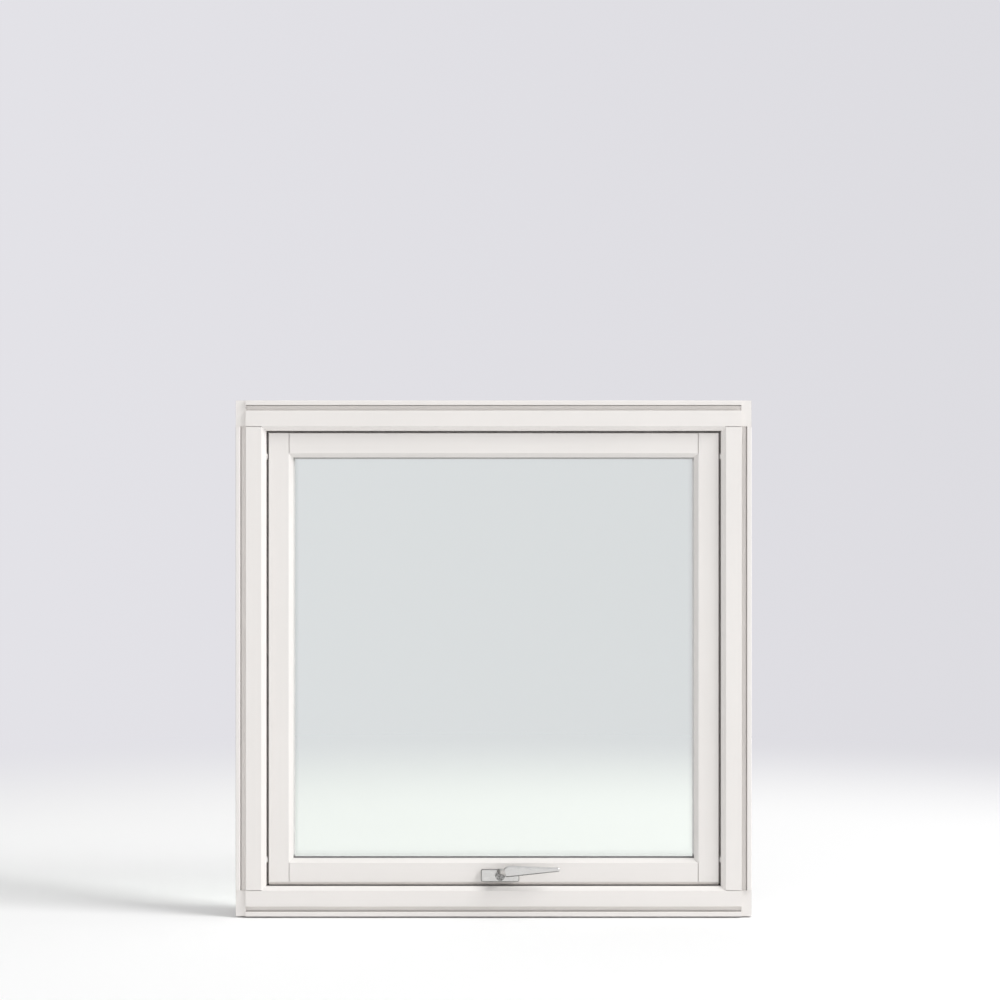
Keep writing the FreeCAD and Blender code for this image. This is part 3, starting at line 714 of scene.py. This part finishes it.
WALL_GREY = (0.752, 0.745, 0.784, 1.0)
WALL_FALL = (1.022, 0.966)
VIEW_REACH = 0.2
FLOOR_WHITE = (0.95, 0.95, 0.95, 1.0)
WORLD_STRENGTH = 0.645
KEY_DIRECTION = Vector((0.67, -0.305, 0.67)).normalized()
KEY_DISTANCE = 12.0
KEY_SIZE = 4.6
KEY_POWER = 900.0
KEY_AIM = Vector((0.0, 0.0, 0.5))
FLOOR_RADIUS = 60.0
FLOOR_LEVEL = -0.0026
FADE_NEAR = 1.45
FADE_FAR = 3.5
LEFT_EDGES = (-0.9, -0.2)
LEFT_LEVEL = 0.06
RIGHT_EDGES = (0.3, 0.9)
RIGHT_LEVEL = 0.5
CARD_NEAR = 0.12
CARD_FAR = 0.22
CARD_LEVEL = 0.04


def seen_rays(tree):
    """1 for rays that show the background: from the camera, off gloss or through glass."""
    path = tree.nodes.new("ShaderNodeLightPath").outputs
    seen = calculate(tree, "MAXIMUM", path["Is Camera Ray"], path["Is Glossy Ray"])
    return calculate(tree, "MAXIMUM", seen, path["Is Transmission Ray"])


def mirrored_rays(tree):
    """1 for rays thrown back by gloss, and not for those that come through glass."""
    path = tree.nodes.new("ShaderNodeLightPath").outputs
    return calculate(tree, "GREATER_THAN", path["Is Glossy Ray"], path["Is Transmission Ray"])


def distance_brightness(tree, sideways):
    """The slow fall of the distance from left to right."""
    return ramp(tree, sideways, -VIEW_REACH, VIEW_REACH, *WALL_FALL)


def room_brightness(tree):
    """The distance all round, but as gloss shows it, dark at the left and dimmer at the right."""
    place = tree.nodes.new("ShaderNodeTexCoord").outputs["Generated"]
    direction = add_node(tree, "ShaderNodeSeparateXYZ", Vector=place).outputs
    left = ramp(tree, direction["X"], *LEFT_EDGES, LEFT_LEVEL, 1.0)
    right = ramp(tree, direction["X"], *RIGHT_EDGES, 1.0, RIGHT_LEVEL)
    loss = calculate(tree, "SUBTRACT", 1.0, calculate(tree, "MULTIPLY", left, right))
    kept = calculate(tree, "SUBTRACT", 1.0, calculate(tree, "MULTIPLY", mirrored_rays(tree), loss))
    return calculate(tree, "MULTIPLY", kept, distance_brightness(tree, direction["X"]))


def make_world():
    world = bpy.data.worlds.new("studio")
    world.use_nodes = True
    tree = world.node_tree
    light = tree.nodes["Background"]
    light.inputs["Color"].default_value = (1.0, 1.0, 1.0, 1.0)
    light.inputs["Strength"].default_value = WORLD_STRENGTH
    wall = add_node(tree, "ShaderNodeBackground", Color=WALL_GREY, Strength=room_brightness(tree))
    mix = add_node(tree, "ShaderNodeMixShader", Fac=seen_rays(tree))
    tree.links.new(light.outputs["Background"], mix.inputs[1])
    tree.links.new(wall.outputs["Background"], mix.inputs[2])
    tree.links.new(mix.outputs["Shader"], tree.nodes["World Output"].inputs["Surface"])
    bpy.context.scene.world = world


def make_floor():
    mesh = bpy.data.meshes.new("floor")
    ways = ((-1, -1), (1, -1), (1, 1), (-1, 1))
    corners = [(x * FLOOR_RADIUS, y * FLOOR_RADIUS, FLOOR_LEVEL) for x, y in ways]
    mesh.from_pydata(corners, [], [(0, 1, 2, 3)])
    floor = bpy.data.objects.new("floor", mesh)
    bpy.context.collection.objects.link(floor)
    material, tree, shader, place = new_material("floor_white")
    shader.inputs["Base Color"].default_value = FLOOR_WHITE
    shader.inputs["Roughness"].default_value = 1.0
    shader.inputs["Specular IOR Level"].default_value = 0.0
    distance = add_node(tree, "ShaderNodeVectorMath", Vector=place)
    distance.operation = "LENGTH"
    fade = add_node(
        tree, "ShaderNodeMapRange", Value=distance.outputs["Value"], From_Min=FADE_NEAR, From_Max=FADE_FAR
    )
    fade.interpolation_type = "SMOOTHSTEP"
    towards_eye = tree.nodes.new("ShaderNodeNewGeometry").outputs["Incoming"]
    leftwards = add_node(tree, "ShaderNodeSeparateXYZ", Vector=towards_eye).outputs["X"]
    sideways = calculate(tree, "MULTIPLY", leftwards, -1.0)
    wall = add_node(
        tree, "ShaderNodeEmission", Color=WALL_GREY, Strength=distance_brightness(tree, sideways)
    )
    far_share = calculate(tree, "MULTIPLY", fade.outputs["Result"], seen_rays(tree))
    card = add_node(tree, "ShaderNodeEmission", Color=WALL_GREY, Strength=CARD_LEVEL)
    close = ramp(tree, distance.outputs["Value"], CARD_NEAR, CARD_FAR, 1.0, 0.0)
    near_share = calculate(tree, "MULTIPLY", close, mirrored_rays(tree))
    surface = shader.outputs["BSDF"]
    for share, look in ((far_share, wall), (near_share, card)):
        mix = add_node(tree, "ShaderNodeMixShader", Fac=share)
        tree.links.new(surface, mix.inputs[1])
        tree.links.new(look.outputs["Emission"], mix.inputs[2])
        surface = mix.outputs["Shader"]
    tree.links.new(surface, tree.nodes["Material Output"].inputs["Surface"])
    mesh.materials.append(material)


def make_key_light():
    lamp = bpy.data.lights.new("key", "AREA")
    lamp.energy = KEY_POWER
    lamp.size = KEY_SIZE
    key = bpy.data.objects.new("key", lamp)
    bpy.context.collection.objects.link(key)
    key.location = KEY_AIM + KEY_DIRECTION * KEY_DISTANCE
    key.rotation_euler = KEY_DIRECTION.to_track_quat("Z", "Y").to_euler()


make_world()
make_floor()
make_key_light()

# The camera: level, square on to the window, at about four fifths of its height.
# It stands far back, so the sides of the frame hardly show.

CAMERA_PLACE = (0.0122, -4.5525, 0.799)
CAMERA_LENS = 84.5
SENSOR_WIDTH = 36.0

camera_data = bpy.data.cameras.new("camera")
camera_data.sensor_width = SENSOR_WIDTH
camera_data.lens = CAMERA_LENS
camera = bpy.data.objects.new("camera", camera_data)
camera.location = CAMERA_PLACE
camera.rotation_euler = (math.radians(90.0), 0.0, 0.0)
bpy.context.collection.objects.link(camera)
bpy.context.scene.camera = camera
bpy.context.scene.view_settings.view_transform = "Standard"
